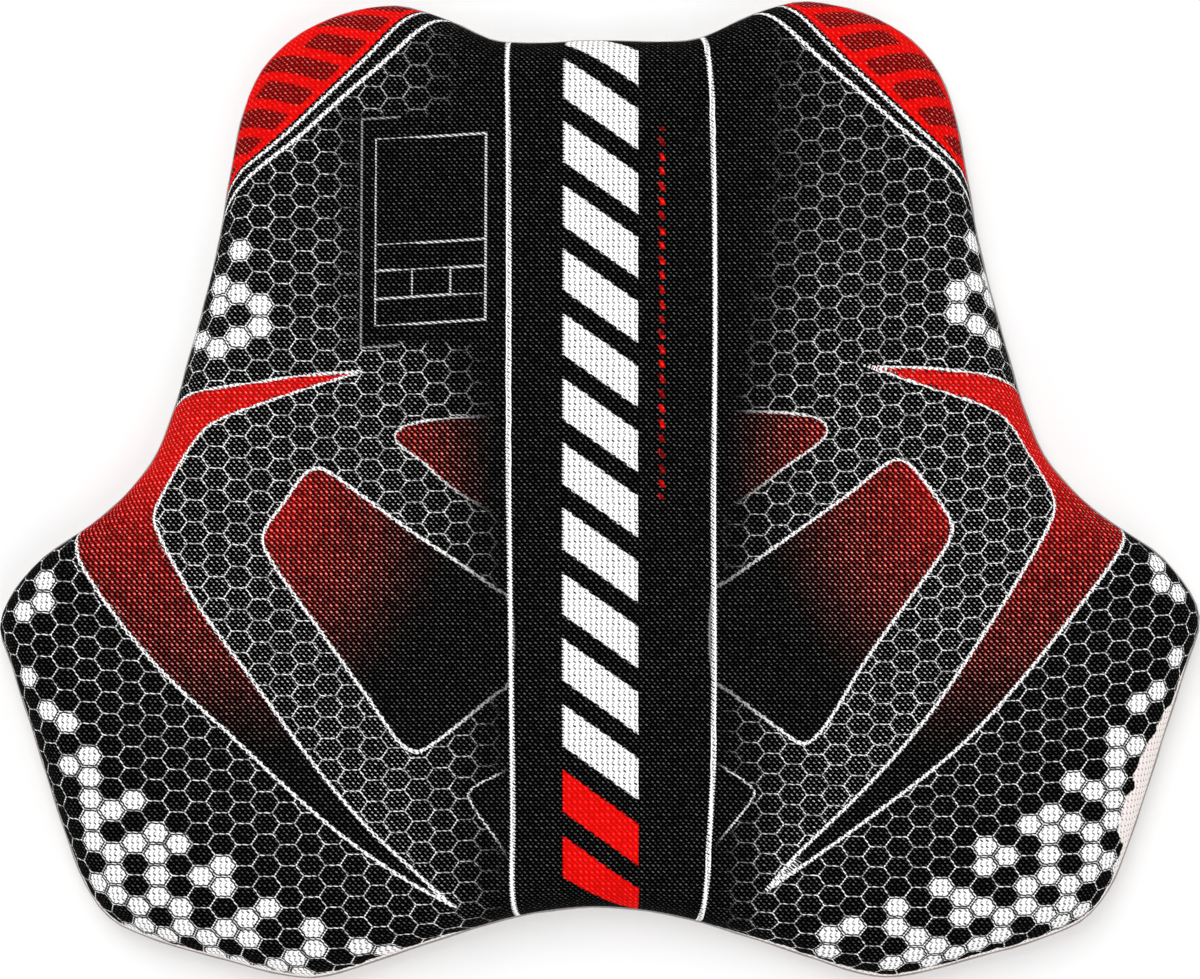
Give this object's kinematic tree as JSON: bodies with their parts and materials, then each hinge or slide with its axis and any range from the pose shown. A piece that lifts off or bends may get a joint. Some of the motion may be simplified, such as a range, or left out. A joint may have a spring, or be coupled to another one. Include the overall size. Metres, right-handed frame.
{
  "type": "roost deflector chest pad",
  "caption": "Soft padded chest plate with broad shoulders, scooped arm edges and pointed side wings, in a patterned knitted sleeve.",
  "frame": {"origin": "on the resting plane, under the middle of the pad's box", "axes": "+Z out of the patterned front face, +Y towards the collar edge, +X towards the right-hand wing seen from the front"},
  "size_m": [0.311, 0.254, 0.02],
  "materials": {
    "patterned_knit": "matte double-faced jacquard knit in black, white and red",
    "plain_knit": "matte plain pale knit with a fine grey bird's-eye fleck",
    "seam_thread": "matte grey overlock thread",
    "foam": "matte moulded soft foam"
  },
  "bodies": {
    "root": {"front_cover": "patterned_knit", "back_cover": "plain_knit", "edge_seam": "seam_thread", "foam_core": "foam"}
  },
  "joints": []
}
